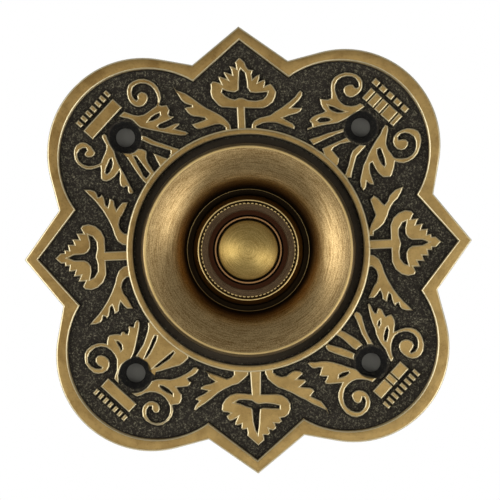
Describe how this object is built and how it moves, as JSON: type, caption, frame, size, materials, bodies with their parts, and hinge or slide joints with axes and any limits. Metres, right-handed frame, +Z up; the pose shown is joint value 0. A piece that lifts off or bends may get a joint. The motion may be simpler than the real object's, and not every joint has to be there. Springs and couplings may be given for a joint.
{
  "type": "doorbell push button",
  "caption": "Ornamental cast brass doorbell plate with pointed and lobed outline, bell-mouth dish and a sprung domed press button that bridges wire terminals.",
  "frame": {"origin": "middle of the four fixing holes, on the plane of the plate's back, which lies on the wall", "axes": "+Z up, +X to the right seen from the front, +Y into the wall along the button's travel"},
  "size_m": [0.0796, 0.0274, 0.0796],
  "materials": {
    "antique_brass": "cast, dark patina in the ground, rubbed bright on the relief",
    "brushed_brass": "turned and brushed antique brass, dark in the throat",
    "dark_brass": "dark antique brass with bright worn edges",
    "turned_brass": "turned, threaded, aged",
    "button_brass": "polished by fingers, fine scratches",
    "contact_brass": "bright stamped brass",
    "plated_steel": "zinc plated steel",
    "spring_steel": "drawn spring steel",
    "moulded_base": "dark brown moulded phenolic"
  },
  "bodies": {
    "plate": {"face_plate": "antique_brass", "centre_dish": "brushed_brass", "knurled_ring": "dark_brass", "push_barrel": "turned_brass", "contact_base": "moulded_base", "snap_ring": "spring_steel", "left_contact_post": "contact_brass", "left_terminal_tab": "contact_brass", "left_terminal_washer": "plated_steel", "left_terminal_screw": "plated_steel", "right_contact_post": "contact_brass", "right_terminal_tab": "contact_brass", "right_terminal_washer": "plated_steel", "right_terminal_screw": "plated_steel", "return_spring": "spring_steel", "lock_washer": "plated_steel", "lock_nut": "turned_brass"},
    "button": {"press_button": "button_brass", "contact_bridge": "contact_brass", "bridge_screw": "plated_steel"}
  },
  "joints": [
    {"name": "button_press", "type": "slide", "parent": "plate", "child": "button", "axis": [0, 1, 0], "range_m": [0, 0.0018], "stiffness_N_per_m": 700, "springref_m": -0.003, "deforming": ["return_spring"]}
  ]
}
